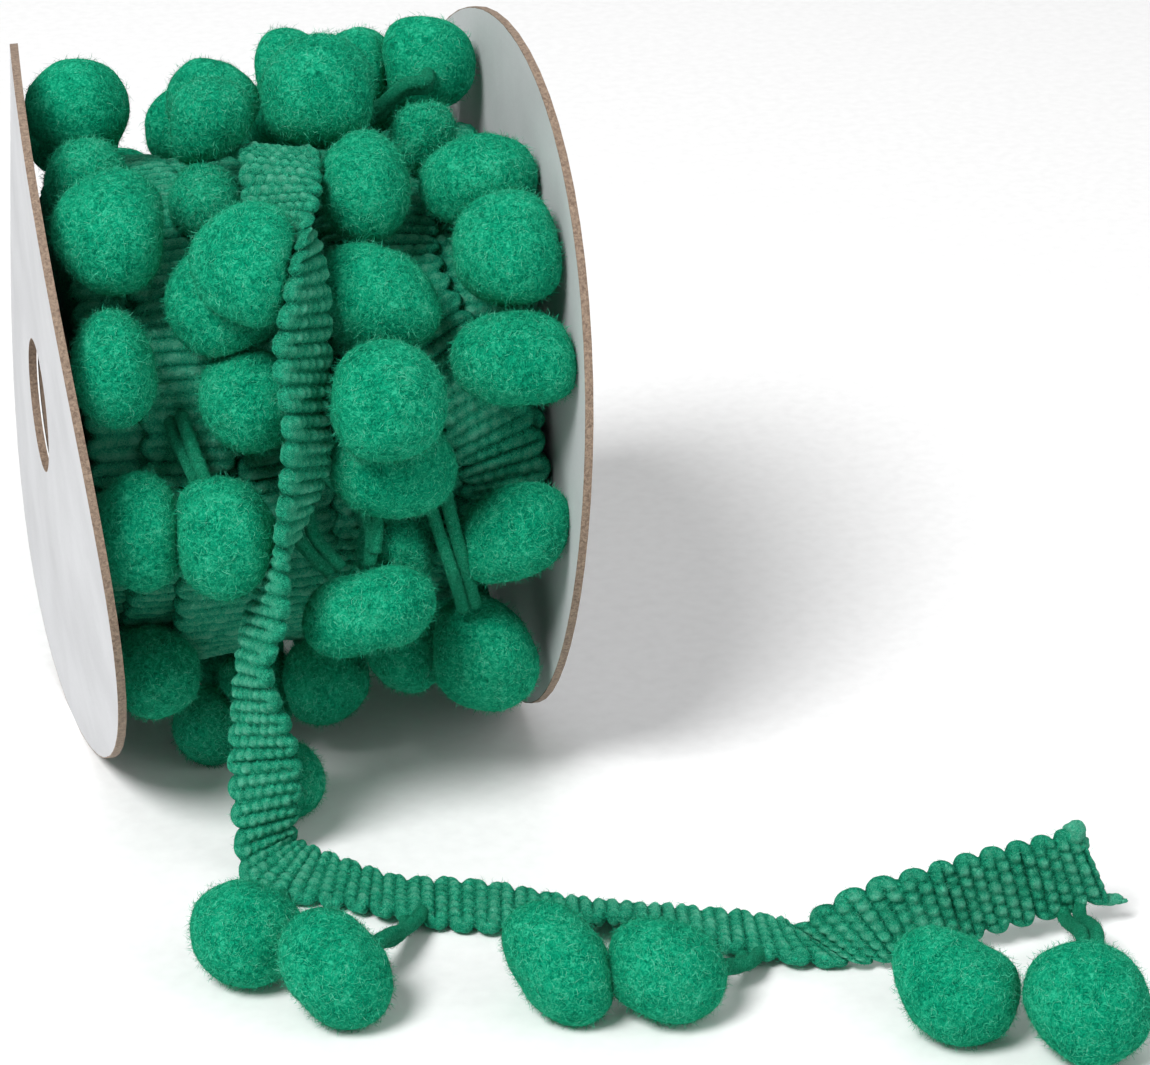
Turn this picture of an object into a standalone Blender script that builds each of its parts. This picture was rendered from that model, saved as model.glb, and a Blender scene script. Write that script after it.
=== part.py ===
"""Pompom fringe trim wound on a flanged card reel, its loose end unrolled in front of it.

The reel stands on the rims of its two flanges. Tables are in millimetres and become metres
where a mesh is made. X runs along the reel's axis, -Y is the front and Z is up. Angles round
the reel start at the front and go up: 0 is the front, 90 the top, 180 the back.
"""
import math

import bmesh
import bpy
from mathutils import Matrix, Vector
from mathutils.bvhtree import BVHTree

MM = 0.001
GAP = 0.3                   # clearance between pieces that touch
LAYER_GAP = 0.6             # clearance of a pompom over cloth and card

# Card reel
FLANGE_RADIUS = 45.0
CARD = 1.0                  # thickness of the flange card
BORE_RADIUS = 8.4
FOOT_WIDTH = 8.0            # flat spot of each rim
AXIS_HEIGHT = math.sqrt(FLANGE_RADIUS ** 2 - (FOOT_WIDTH / 2) ** 2)
RIM_SPAN = 29.4             # from the reel's middle to the outer face at a rim
FLAT_MIDDLE = 12.0          # a flange stays flat out to this radius
FLANGE_SEGMENTS = 60
FLANGE_RINGS = (BORE_RADIUS, FLAT_MIDDLE, 22.0, 33.0, FLANGE_RADIUS)
CORE_WALL = 1.2
CORE_SEGMENTS = 36

# How each card is dished and warped at its rim: outward shift of the middle, a saddle in two
# directions, and a lean in two directions
FLANGES = {
    #         side dish  saddle_cos saddle_sin lean_cos lean_sin
    "left_flange": (-1, 1.1, 0.4, 1.8, 0.8, -1.1),
    "right_flange": (1, 0.5, -0.6, -0.9, -0.1, 0.7),
}

# Wound trim
WOUND_HALF_LENGTH = 26.8
WOUND_BASE = 26.0           # radius between the turns on top
TAPE_WIDTH = 10.4
TAPE_THICKNESS = 1.8
WOUND_SEGMENTS = 64
WOUND_STEPS = 24

# Turns of tape that lie on top: place along the axis, sway to each side, waves in a turn,
# the angle where the sway is greatest, and radius
TURNS = (
    # place  sway waves angle radius
    (-17.0, 1.5, 2, 40, 29.5),
    (17.0, -5.5, 3, 50, 30.0),
    (-6.0, 2.5, 1, 300, 28.5),
    (5.5, 3.0, 1, 60, 28.0),
    (-21.5, 0.8, 1, 180, 27.5),
    (21.5, 0.6, 2, 200, 28.5),
)

# Pompoms on the reel: place along the axis, angle and radius of the centre, half sizes along
# the axis, round the reel and outwards, and how far each leans about its outward direction
DRUM_POMPOMS = (
    # place  angle radius  wide  tall  deep lean
    (-22.4, 97.0, 37.2, 6.7, 6.5, 6.3, 0),
    (-24.0, 74.0, 33.5, 5.2, 5.6, 5.6, 0),
    (-22.7, 53.5, 38.2, 7.0, 8.0, 6.5, 6),
    (-25.2, 28.0, 37.2, 5.0, 7.6, 6.4, 0),
    (-23.7, -4.0, 35.4, 6.0, 7.2, 6.2, 0),
    (-21.2, -49.5, 36.0, 5.9, 6.3, 6.0, 0),
    (-5.8, 108.0, 36.0, 5.6, 5.6, 5.6, 0),
    (-9.4, 79.0, 39.2, 5.3, 5.8, 5.4, 0),
    (-10.4, 66.0, 32.4, 4.6, 5.2, 4.8, 0),
    (4.6, 107.0, 38.2, 5.8, 5.6, 5.4, 0),
    (4.7, 79.0, 41.6, 7.5, 7.0, 6.5, 0),
    (-8.6, 40.5, 44.4, 7.1, 7.8, 6.5, 10),
    (-11.6, 38.5, 36.4, 6.9, 7.4, 6.0, 12),
    (7.8, 59.5, 36.6, 5.8, 7.0, 6.0, 5),
    (7.0, 36.5, 35.8, 7.1, 6.8, 6.2, -10),
    (-9.4, 20.0, 35.2, 6.3, 6.6, 6.2, 0),
    (-14.1, -4.4, 38.6, 6.8, 7.9, 6.4, 0),
    (5.2, 18.2, 44.2, 7.0, 7.4, 6.7, 0),
    (6.4, 5.0, 36.4, 7.8, 6.6, 6.4, 0),
    (2.9, -19.0, 42.4, 7.7, 5.9, 6.2, -20),
    (11.0, -49.0, 37.0, 5.9, 5.8, 5.8, 0),
    (0.6, -60.0, 38.6, 6.2, 5.9, 5.8, 0),
    (18.8, -41.0, 40.8, 7.3, 8.2, 6.6, -8),
    (21.8, -12.0, 36.8, 6.6, 6.6, 6.2, -15),
    (22.2, 22.5, 38.6, 7.9, 6.0, 6.2, 8),
    (23.0, 42.0, 39.0, 6.8, 7.5, 6.4, 0),
    (22.4, 60.0, 35.6, 7.2, 6.0, 5.8, 0),
    (17.4, 79.0, 34.0, 5.0, 5.0, 5.0, 0),
    (21.8, 104.0, 38.6, 6.8, 5.9, 6.0, 0),
    (14.4, 109.0, 38.6, 5.4, 5.2, 5.2, 0),
    (-6.6, -66.0, 38.6, 5.8, 5.6, 5.6, 0),
    (7.6, -17.0, 34.4, 4.6, 5.8, 5.6, 0),
)

# The hidden back carries rows of pompoms, four and three by turns. The first few are pieces
# of their own and the rest are lumps of the wound form.
BACK_FIRST_ANGLE, BACK_ANGLE_STEP, BACK_ROWS = 130.0, 23.5, 7
BACK_FOUR = (-21.4, -7.2, 7.2, 21.4)
BACK_THREE = (-14.4, 0.0, 14.4)
BACK_RADIUS, BACK_SIZE = 35.8, 6.3
BACK_PIECES = 5

# Pompoms of the loose end, lying on the table: centre in the plane, half sizes along X, Y
# and Z, and turn about Z
TAIL_POMPOMS = (
    #    x      y     long  deep tall  turn
    (-18.2, -68.0, 6.4, 6.2, 6.3, 0),
    (-10.3, -78.4, 6.3, 6.8, 6.5, 20),
    (14.4, -83.8, 5.8, 7.8, 6.3, 25),
    (25.6, -88.0, 7.0, 6.2, 6.2, -20),
    (56.2, -100.4, 6.8, 7.0, 6.3, 30),
    (68.4, -107.9, 7.0, 6.9, 6.6, -35),
    (-12.6, -15.6, 5.4, 5.2, 5.2, 0),
    (-7.0, -32.4, 5.3, 5.1, 5.0, 0),
)

# Loose end of the tape: the edge that carries the pompoms and the plain edge, at stations
# along its length. It leaves the reel at the top, turns edge on, hangs and turns back, then
# rounds a corner on the table, runs along it with its fringed edge propped on the pompoms,
# and stands on that edge from a slanting crease to the cut end.
TAIL = (
    # fringed edge          plain edge
    ((-4.0, -5.6, 76.6), (3.6, -11.0, 77.6)),
    ((-5.2, -9.4, 79.2), (3.0, -15.6, 80.0)),
    ((-5.9, -15.0, 79.5), (1.8, -22.0, 79.9)),
    ((-6.4, -20.2, 76.4), (0.4, -27.6, 79.0)),
    ((-0.8, -26.8, 74.8), (-3.4, -36.6, 77.0)),
    ((0.2, -32.0, 69.9), (-5.0, -40.6, 72.0)),
    ((-0.2, -34.6, 63.9), (-6.2, -42.6, 65.7)),
    ((-0.8, -36.2, 56.5), (-6.6, -44.4, 58.4)),
    ((-1.4, -36.8, 48.9), (-7.4, -45.0, 50.9)),
    ((-2.8, -37.0, 42.2), (-8.4, -45.6, 44.3)),
    ((-8.0, -37.0, 36.3), (-9.4, -46.9, 39.0)),
    ((-11.4, -36.8, 30.8), (-8.9, -46.5, 33.7)),
    ((-12.3, -36.6, 25.5), (-10.7, -46.0, 28.7)),
    ((-13.1, -36.6, 20.7), (-10.3, -45.5, 24.4)),
    ((-13.8, -37.2, 16.6), (-8.6, -44.9, 19.6)),
    ((-14.7, -39.2, 11.2), (-7.2, -43.8, 13.4)),
    ((-15.0, -41.6, 7.2), (-7.1, -42.8, 8.4)),
    ((-15.0, -43.4, 4.2), (-7.5, -42.0, 4.8)),
    ((-15.3, -45.6, 1.8), (-7.6, -41.5, 2.4)),
    ((-14.6, -49.8, 1.1), (-6.8, -42.1, 1.2)),
    ((-11.4, -53.2, 1.1), (-5.6, -43.6, 1.1)),
    ((-7.0, -56.0, 1.2), (-3.4, -46.2, 1.0)),
    ((-3.2, -59.0, 1.6), (-0.4, -49.6, 1.0)),
    ((0.6, -62.4, 1.9), (2.8, -53.0, 1.0)),
    ((6.3, -65.1, 1.1), (8.6, -55.0, 1.0)),
    ((12.1, -67.9, 1.6), (14.7, -58.2, 1.0)),
    ((17.9, -71.2, 3.7), (20.0, -62.2, 1.0)),
    ((22.6, -74.3, 5.1), (25.1, -65.4, 1.0)),
    ((26.4, -75.8, 5.1), (28.9, -67.0, 1.0)),
    ((32.6, -78.8, 3.2), (35.0, -69.4, 1.0)),
    ((37.5, -81.0, 2.0), (39.9, -71.4, 1.0)),
    ((43.1, -83.8, 1.6), (43.4, -74.0, 1.1)),
    ((48.6, -85.0, 1.1), (44.7, -77.4, 2.0)),
    ((52.6, -85.6, 1.2), (46.9, -81.4, 7.0)),
    ((55.8, -85.8, 1.5), (51.0, -84.2, 10.8)),
    ((59.8, -85.8, 1.9), (56.6, -85.2, 12.2)),
    ((65.2, -85.0, 2.4), (62.2, -84.6, 12.7)),
    ((70.6, -84.6, 2.8), (67.8, -84.2, 13.1)),
    ((76.0, -84.0, 3.1), (72.8, -83.8, 13.3)),
    ((81.2, -83.4, 3.4), (77.0, -83.0, 13.4)),
)
TAIL_STEPS = 2              # sections between two stations
TAIL_ACROSS = 3             # faces across the tape

# Cords that tie a pompom to the tape: the pompom, then where the cord starts and how it runs
CORD_RADIUS = 1.0
TAIL_CORDS = (
    ("tail_pompom_1", ((-13.4, -55.6, 1.6), (-15.0, -59.4, 3.6))),
    ("tail_pompom_2", ((1.6, -64.8, 2.0), (-0.6, -68.4, 3.0), (-3.8, -72.4, 4.6))),
    ("tail_pompom_3", ((17.8, -73.2, 4.0), (16.8, -75.6, 5.2))),
    ("tail_pompom_4", ((37.4, -82.8, 1.8), (35.0, -85.6, 3.2))),
    ("tail_pompom_5", ((59.0, -88.0, 1.8), (58.4, -91.4, 3.8))),
    ("tail_pompom_6", ((75.8, -86.2, 2.8), (74.4, -92.0, 5.6), (72.4, -98.0, 8.0))),
)
# The same on the reel, with each point as a place along the axis, an angle and a radius
DRUM_CORDS = (
    ("drum_pompom_29", ((14.6, 89.0, 33.4), (17.4, 89.6, 35.8), (19.8, 92.0, 37.2))),
    ("drum_pompom_23", ((13.6, -2.0, 34.0), (13.8, -9.0, 37.0), (13.9, -17.0, 39.0))),
    ("drum_pompom_20", ((-4.2, -3.0, 33.8), (-3.9, -8.0, 36.2))),
    ("drum_pompom_17", ((-16.8, 19.0, 31.8), (-16.6, 12.0, 34.4))),
)

COLOURS = {
    #              red   green blue  roughness
    "felt": (0.02, 0.33, 0.17, 0.95),
    "woven tape": (0.02, 0.30, 0.16, 0.9),
    "white card": (0.72, 0.73, 0.74, 0.7),
    "grey card": (0.42, 0.37, 0.32, 0.9),
}


def clear_scene():
    for obj in list(bpy.data.objects):
        bpy.data.objects.remove(obj, do_unlink=True)


def material(name, colour):
    red, green, blue, roughness = COLOURS[colour]
    made = bpy.data.materials.new(name)
    made.use_nodes = True
    shader = made.node_tree.nodes["Principled BSDF"]
    shader.inputs["Base Color"].default_value = (red, green, blue, 1)
    shader.inputs["Roughness"].default_value = roughness
    shader.inputs["Metallic"].default_value = 0
    return made


def add_object(name, data, colour, collection, frame):
    obj = bpy.data.objects.new(name, data)
    data.materials.append(material(name, colour))
    collection.objects.link(obj)
    obj.parent = frame
    return obj


def mesh_from(bm, name):
    """A mesh in metres from a bmesh in millimetres."""
    bm.normal_update()
    bmesh.ops.recalc_face_normals(bm, faces=bm.faces)
    bmesh.ops.scale(bm, vec=(MM, MM, MM), verts=bm.verts)
    mesh = bpy.data.meshes.new(name)
    bm.to_mesh(mesh)
    bm.free()
    mesh.shade_smooth()
    return mesh


def solidify(obj, thickness, offset):
    shell = obj.modifiers.new("Thickness", "SOLIDIFY")
    shell.thickness = thickness * MM
    shell.offset = offset


def surface_tree(obj):
    """The finished surface of an object as a search tree, in millimetres."""
    bpy.context.view_layer.update()
    evaluated = obj.evaluated_get(bpy.context.evaluated_depsgraph_get())
    mesh = evaluated.to_mesh()
    points = [vertex.co / MM for vertex in mesh.vertices]
    faces = [face.vertices[:] for face in mesh.polygons]
    evaluated.to_mesh_clear()
    return BVHTree.FromPolygons(points, faces)


def on_reel(place, angle, radius):
    """A point from its place along the axis, its angle round the reel and its radius."""
    turn = math.radians(angle)
    return Vector((place, -radius * math.cos(turn), AXIS_HEIGHT + radius * math.sin(turn)))


def ring(bm, place, radius_at, segments):
    """Moves the last ring of a tube under construction to its place and its radii."""
    for vertex, index in zip(bm, range(segments)):
        angle = 360 * index / segments
        vertex.co = on_reel(place, angle, radius_at(place, angle))


def tube(rings, segments, closed):
    """A tube round the reel's axis from a list of rings: place and a rule for the radius."""
    bm = bmesh.new()
    made = bmesh.ops.create_circle(bm, segments=segments, radius=1)["verts"]
    edges = list(bm.edges)
    first_edges = edges
    current = sorted(made, key=lambda v: math.atan2(v.co.y, v.co.x) % (2 * math.pi))
    ring(current, *rings[0], segments)
    for place, radius_at in rings[1:]:
        extruded = bmesh.ops.extrude_edge_only(bm, edges=edges)["geom"]
        edges = [item for item in extruded if isinstance(item, bmesh.types.BMEdge)
                 and not any(v in current for v in item.verts)]
        following = []
        for vertex in current:
            link = next(edge for edge in vertex.link_edges
                        if edge.other_vert(vertex) not in current
                        and edge.other_vert(vertex) in {v for e in edges for v in e.verts})
            following.append(link.other_vert(vertex))
        current = following
        ring(current, place, radius_at, segments)
    if closed:
        bmesh.ops.bridge_loops(bm, edges=first_edges + edges)
    return bm


def flange_face(name, y, z):
    """The place along the axis of a flange's outer face at a point of the card."""
    side, dish, saddle_cos, saddle_sin, lean_cos, lean_sin = FLANGES[name]
    radius = math.hypot(y, z - AXIS_HEIGHT)
    turn = math.atan2(z - AXIS_HEIGHT, y)
    reach = max(0.0, (radius - FLAT_MIDDLE) / (FLANGE_RADIUS - FLAT_MIDDLE))
    warp = saddle_cos * math.cos(2 * turn) + saddle_sin * math.sin(2 * turn)
    lean = lean_cos * math.cos(turn) + lean_sin * math.sin(turn)
    return side * (RIM_SPAN + dish * (1 - reach ** 2)) + warp * reach ** 2 + lean * reach


def make_flange(name, collection, frame):
    """A round card with a bore, warped a little, and cut flat where it stands."""
    def radius_rule(radius):
        return lambda place, angle: radius
    bm = tube([(0, radius_rule(radius)) for radius in FLANGE_RINGS], FLANGE_SEGMENTS, False)
    bmesh.ops.bisect_plane(bm, geom=bm.verts[:] + bm.edges[:] + bm.faces[:], dist=0.0001,
                           plane_co=(0, 0, 0), plane_no=(0, 0, -1), clear_outer=True)
    for vertex in bm.verts:
        vertex.co.x = flange_face(name, vertex.co.y, vertex.co.z)
    inner = bmesh.ops.extrude_face_region(bm, geom=bm.faces[:], use_keep_orig=True)["geom"]
    inward = Vector((-FLANGES[name][0] * CARD, 0, 0))
    bmesh.ops.translate(bm, vec=inward,
                        verts=[item for item in inner if isinstance(item, bmesh.types.BMVert)])
    return add_object(name, mesh_from(bm, name), "white card", collection, frame)


def make_core(collection, frame):
    """The card tube between the flanges, its bore in line with theirs."""
    ends = [flange_face(name, 0, AXIS_HEIGHT) - FLANGES[name][0] * (CARD + GAP)
            for name in FLANGES]
    outer = BORE_RADIUS + CORE_WALL
    rings = [(min(ends), lambda place, angle: outer), (max(ends), lambda place, angle: outer)]
    mesh = mesh_from(tube(rings, CORE_SEGMENTS, False), "core_tube")
    obj = add_object("core_tube", mesh, "grey card", collection, frame)
    solidify(obj, CORE_WALL, -1)
    return obj


def back_pompoms():
    """Place, angle and radius of each pompom on the hidden side."""
    found = []
    for row in range(BACK_ROWS):
        angle = BACK_FIRST_ANGLE + row * BACK_ANGLE_STEP
        for column, place in enumerate(BACK_THREE if row % 2 else BACK_FOUR):
            sway = 2.5 * math.sin(2.1 * row + 1.7 * column)
            found.append((place, angle + sway, BACK_RADIUS + 0.4 * sway))
    return found


def turn_place(turn, angle):
    place, sway, waves, peak, _ = turn
    return place + sway * math.cos(math.radians(waves * (angle - peak)))


def wound_radius(place, angle):
    """Radius of the wound form: the turns on top and the lumps of the hidden pompoms."""
    radius = WOUND_BASE
    for turn in TURNS:
        across = abs(place - turn_place(turn, angle)) / (TAPE_WIDTH / 2 + 0.6)
        if across < 1:
            radius = max(radius, WOUND_BASE + (turn[4] - WOUND_BASE) * (1 - across ** 6))
    for lump_place, lump_angle, lump_radius in back_pompoms()[BACK_PIECES:]:
        apart = math.radians((angle - lump_angle + 180) % 360 - 180) * lump_radius
        reach = 1 - ((place - lump_place) ** 2 + apart ** 2) / BACK_SIZE ** 2
        if reach > 0:
            radius = max(radius, lump_radius - 3 + (BACK_SIZE + 3) * math.sqrt(reach))
    return radius


def make_wound_trim(collection, frame):
    def inner(place, angle):
        return BORE_RADIUS + CORE_WALL + GAP
    step = 2 * WOUND_HALF_LENGTH / WOUND_STEPS
    rings = [(-WOUND_HALF_LENGTH, inner)]
    rings += [(-WOUND_HALF_LENGTH + step * i, wound_radius) for i in range(WOUND_STEPS + 1)]
    rings += [(WOUND_HALF_LENGTH, inner)]
    mesh = mesh_from(tube(rings, WOUND_SEGMENTS, True), "wound_trim")
    return add_object("wound_trim", mesh, "woven tape", collection, frame)


def smooth_between(points, steps):
    """Points along a Catmull-Rom curve, steps of them from each point to the next."""
    curve = []
    last = len(points) - 1
    for i in range(last):
        before, start = points[max(i - 1, 0)], points[i]
        end, after = points[i + 1], points[min(i + 2, last)]
        for k in range(steps):
            t = k / steps
            curve.append(0.5 * (2 * start + (end - before) * t
                                + (2 * before - 5 * start + 4 * end - after) * t ** 2
                                + (3 * start - before - 3 * end + after) * t ** 3))
    return curve + [points[last]]


def make_tail_tape(collection, frame):
    """The loose end: a sheet between its two edges, made thick."""
    fringed = smooth_between([Vector(station[0]) for station in TAIL], TAIL_STEPS)
    plain = smooth_between([Vector(station[1]) for station in TAIL], TAIL_STEPS)
    bm = bmesh.new()
    edges = []
    for start, end in zip(fringed, plain):
        corners = [bm.verts.new(start.lerp(end, i / TAIL_ACROSS)) for i in range(TAIL_ACROSS + 1)]
        edges.append([bm.edges.new(pair) for pair in zip(corners, corners[1:])])
    for near, far in zip(edges, edges[1:]):
        bmesh.ops.bridge_loops(bm, edges=near + far)
    bmesh.ops.recalc_face_normals(bm, faces=bm.faces)
    obj = add_object("tail_tape", mesh_from(bm, "tail_tape"), "woven tape", collection, frame)
    solidify(obj, TAPE_THICKNESS, 0)
    return obj


def pompom_list():
    """Name, centre, the three half-axis vectors and mean radius of every pompom piece."""
    found = []
    rows = list(DRUM_POMPOMS)
    rows += [(*spot, BACK_SIZE, BACK_SIZE, BACK_SIZE, 0) for spot in back_pompoms()[:BACK_PIECES]]
    for number, (place, angle, radius, wide, tall, deep, lean) in enumerate(rows, 1):
        outward = (on_reel(0, angle, 1) - on_reel(0, angle, 0)).normalized()
        spin = Matrix.Rotation(math.radians(lean), 3, outward)
        along = spin @ Vector((1, 0, 0))
        around = outward.cross(along)
        axes = (along * wide, around * tall, outward * deep)
        name = f"drum_pompom_{number:02d}"
        found.append((name, on_reel(place, angle, radius), axes, (wide + tall + deep) / 3))
    for number, (x, y, long, deep, tall, turn) in enumerate(TAIL_POMPOMS, 1):
        spin = Matrix.Rotation(math.radians(turn), 3, "Z")
        axes = (spin @ Vector((long, 0, 0)), spin @ Vector((0, deep, 0)), Vector((0, 0, tall)))
        centre = Vector((x, y, tall - 0.3))
        found.append((f"tail_pompom_{number}", centre, axes, (long + deep + tall) / 3))
    return found


def squashed(centre, point, own_radius, others, trees):
    """A point of a pompom pulled in to where its neighbours leave room for it."""
    reach = 1.0
    for other_centre, other_radius in others:
        apart = other_centre - centre
        distance = apart.length
        if distance > 2.2 * (own_radius + other_radius):
            continue
        wall = distance * own_radius / (own_radius + other_radius) - GAP / 2
        along = point.dot(apart / distance)
        if along > wall:
            reach = min(reach, wall / along)
    length = point.length
    for tree in trees:
        hit = tree.ray_cast(centre, point / length, length + LAYER_GAP)
        if hit[0] is not None:
            reach = min(reach, (hit[3] - LAYER_GAP) / length)
    if centre.z + point.z < 0:
        reach = min(reach, -centre.z / point.z)
    return point * max(reach, 0.15)


def make_pompom(name, centre, axes, radius, cuts, others, trees, collection, frame):
    """A ball of felt, flattened where it presses on a neighbour, the reel or the table."""
    bm = bmesh.new()
    bmesh.ops.create_cube(bm, size=2)
    bmesh.ops.subdivide_edges(bm, edges=bm.edges[:], cuts=cuts, use_grid_fill=True)
    for vertex in bm.verts:
        unit = Vector([math.tan(value * math.pi / 4) for value in vertex.co]).normalized()
        point = axes[0] * unit.x + axes[1] * unit.y + axes[2] * unit.z
        vertex.co = centre + squashed(centre, point, radius, others, trees)
    return add_object(name, mesh_from(bm, name), "felt", collection, frame)


def make_pompoms(trees, collection, frame):
    found = pompom_list()
    made = {}
    for name, centre, axes, radius in found:
        others = [(item[1], item[3]) for item in found if item[0] != name]
        cuts = 3 if name.startswith("tail") else 2
        made[name] = make_pompom(name, centre, axes, radius, cuts, others, trees,
                                 collection, frame)
    return made, {item[0]: item[1] for item in found}


def make_cord(name, points, pompom, centre, collection, frame):
    """A round cord through its points that ends just short of its pompom."""
    start = points[-1]
    hit = surface_tree(pompom).ray_cast(start, (centre - start).normalized())
    points = points + [hit[0] - (centre - start).normalized() * (GAP + 0.3)]
    route = smooth_between(points, 3)
    curve = bpy.data.curves.new(name, "CURVE")
    curve.dimensions = "3D"
    curve.bevel_depth = CORD_RADIUS * MM
    curve.bevel_resolution = 2
    curve.use_fill_caps = True
    spline = curve.splines.new("POLY")
    spline.points.add(len(route) - 1)
    for target, point in zip(spline.points, route):
        target.co = (*(point * MM), 1)
    return add_object(name, curve, "woven tape", collection, frame)


def centre_on_origin(frame):
    """Moves the whole object so that its box stands centred on the origin."""
    bpy.context.view_layer.update()
    corners = [child.matrix_world @ Vector(corner)
               for child in frame.children for corner in child.bound_box]
    for axis in (0, 1):
        values = [corner[axis] for corner in corners]
        frame.location[axis] = -(min(values) + max(values)) / 2


def main():
    clear_scene()
    collection = bpy.data.collections.new("pompom fringe trim")
    bpy.context.scene.collection.children.link(collection)
    frame = bpy.data.objects.new("trim_frame", None)
    collection.objects.link(frame)
    solids = [make_flange(name, collection, frame) for name in FLANGES]
    make_core(collection, frame)
    solids.append(make_wound_trim(collection, frame))
    solids.append(make_tail_tape(collection, frame))
    trees = [surface_tree(obj) for obj in solids]
    pompoms, centres = make_pompoms(trees, collection, frame)
    for number, (pompom, points) in enumerate(TAIL_CORDS, 1):
        route = [Vector(point) for point in points]
        make_cord(f"tail_cord_{number}", route, pompoms[pompom], centres[pompom],
                  collection, frame)
    for number, (pompom, points) in enumerate(DRUM_CORDS, 1):
        route = [on_reel(*point) for point in points]
        make_cord(f"drum_cord_{number}", route, pompoms[pompom], centres[pompom],
                  collection, frame)
    centre_on_origin(frame)


main()
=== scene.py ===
# %% [markdown]
# # Pompom fringe trim on a card reel
# The subject is a woven fringe: a narrow tape with felted pompoms tied along one edge.
# It is wound on a reel of two card discs, and its loose end is unrolled in front.
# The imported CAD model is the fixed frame, and every soft piece is remade here with the
# relief, the fibres and the finish that a solid cannot show. Lengths are millimetres in
# the reel's own frame until a mesh is made, so a number here can be read on a ruler.

# %% Load the frame
import math

import bmesh
import bpy
import numpy as np
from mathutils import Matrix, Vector, noise
from mathutils.bvhtree import BVHTree


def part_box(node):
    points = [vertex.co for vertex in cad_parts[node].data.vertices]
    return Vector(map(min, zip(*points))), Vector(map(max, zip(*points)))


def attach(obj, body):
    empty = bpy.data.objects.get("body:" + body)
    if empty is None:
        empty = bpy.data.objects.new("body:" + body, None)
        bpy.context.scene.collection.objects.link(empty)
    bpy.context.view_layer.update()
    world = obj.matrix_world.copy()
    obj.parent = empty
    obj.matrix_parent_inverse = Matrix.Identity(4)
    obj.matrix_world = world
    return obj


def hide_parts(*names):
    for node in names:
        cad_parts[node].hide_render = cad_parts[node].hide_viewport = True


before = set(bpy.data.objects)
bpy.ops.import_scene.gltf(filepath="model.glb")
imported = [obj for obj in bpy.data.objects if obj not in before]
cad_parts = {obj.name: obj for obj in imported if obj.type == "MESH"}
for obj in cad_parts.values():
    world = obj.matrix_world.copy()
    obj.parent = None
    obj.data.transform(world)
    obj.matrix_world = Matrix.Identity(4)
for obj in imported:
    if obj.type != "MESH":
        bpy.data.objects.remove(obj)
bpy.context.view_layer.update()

MM = 0.001
print("nodes in the frame:", len(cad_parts))

# %% [markdown]
# ## Where the reel stands
# The CAD model is centred on its whole box, loose end and all, so the reel itself is off to
# one side. Its core tube is on the axis, and that gives the place of everything else. The
# tube's middle is 0.3 mm left of the reel's middle, because one disc is dished more.

# %% Find the reel in the frame
AXIS_HEIGHT = 44.8219
core_low, core_high = (np.array(corner, float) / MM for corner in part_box("core_tube"))
SHIFT = (core_low + core_high) / 2
SHIFT[0] += 0.3
SHIFT[2] = 0.0
print("reel's middle, mm:", SHIFT.round(2))


def on_reel(place, angle, radius):
    """A point from its place along the axis, its angle round the reel and its radius."""
    turn = np.radians(angle)
    return np.stack(np.broadcast_arrays(
        place, -radius * np.cos(turn), AXIS_HEIGHT + radius * np.sin(turn)), -1).astype(float)


# %% [markdown]
# ## Camera
# A product picture of a small thing is taken from well back with a long lens, so that the
# reel is not stretched. The camera looks down at 25 degrees and comes 15 degrees from the
# left, which shows one disc's outside, the winding, and the inside of the other disc.

# %% Camera
camera_data = bpy.data.cameras.new("camera")
camera_data.sensor_fit = "HORIZONTAL"
camera_data.sensor_width = 36.0
camera_data.lens = 112.7
camera_data.clip_start = 0.01
camera = bpy.data.objects.new("camera", camera_data)
camera.location = Vector((np.array((-75.8, -417.92, 224.17)) + SHIFT) * MM)
camera.rotation_euler = (math.radians(90 - 25.4), 0, math.radians(-15.4))
bpy.context.scene.collection.objects.link(camera)
bpy.context.scene.camera = camera
print("lens", camera_data.lens)

# %% [markdown]
# ## Light and table
# Felt and woven yarn are matt, so their shape is shown by soft shade alone. One wide lamp
# above and to the left does most of the work, a weaker one lifts the right-hand side, and
# the pale surroundings keep the gaps between the pompoms from going black. The plain view
# transform keeps the green as strong as the dye is.

# %% Lamps, surroundings and table
scene = bpy.context.scene
scene.view_settings.view_transform = "Standard"

world = bpy.data.worlds.new("pale room")
world.use_nodes = True
world.node_tree.nodes["Background"].inputs["Color"].default_value = (1, 1, 1, 1)
world.node_tree.nodes["Background"].inputs["Strength"].default_value = 0.34
scene.world = world

LAMPS = {
    #            place, m              size  power
    "key":   ((-0.62, -0.45, 1.00), 0.50, 14.5),
    "fill":  ((0.70, -0.60, 0.60), 0.80, 2.0),
    "back":  ((0.15, 0.80, 0.80), 0.60, 2.0),
}
for name, (place, size, power) in LAMPS.items():
    lamp = bpy.data.lights.new(name, "AREA")
    lamp.shape, lamp.size, lamp.energy = "DISK", size, power
    stand = bpy.data.objects.new(name, lamp)
    stand.location = place
    stand.rotation_euler = Vector(place).to_track_quat("Z", "Y").to_euler()
    scene.collection.objects.link(stand)
print("lamps:", ", ".join(LAMPS))

# %% [markdown]
# ## Colours and nodes
# Dyes and papers are matched as sRGB, which is how a screen shows them, but a shader
# works in linear light. One function turns a hex value to linear. One more adds a node with
# its settings and its links, so that a material reads as a short list.

# %% Colour and node helpers
def linear(hex_value):
    """A linear RGBA colour from a hex sRGB value."""
    found = []
    for at in (1, 3, 5):
        value = int(hex_value[at:at + 2], 16) / 255
        found.append(value / 12.92 if value <= 0.04045 else ((value + 0.055) / 1.055) ** 2.4)
    return (*found, 1.0)


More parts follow.
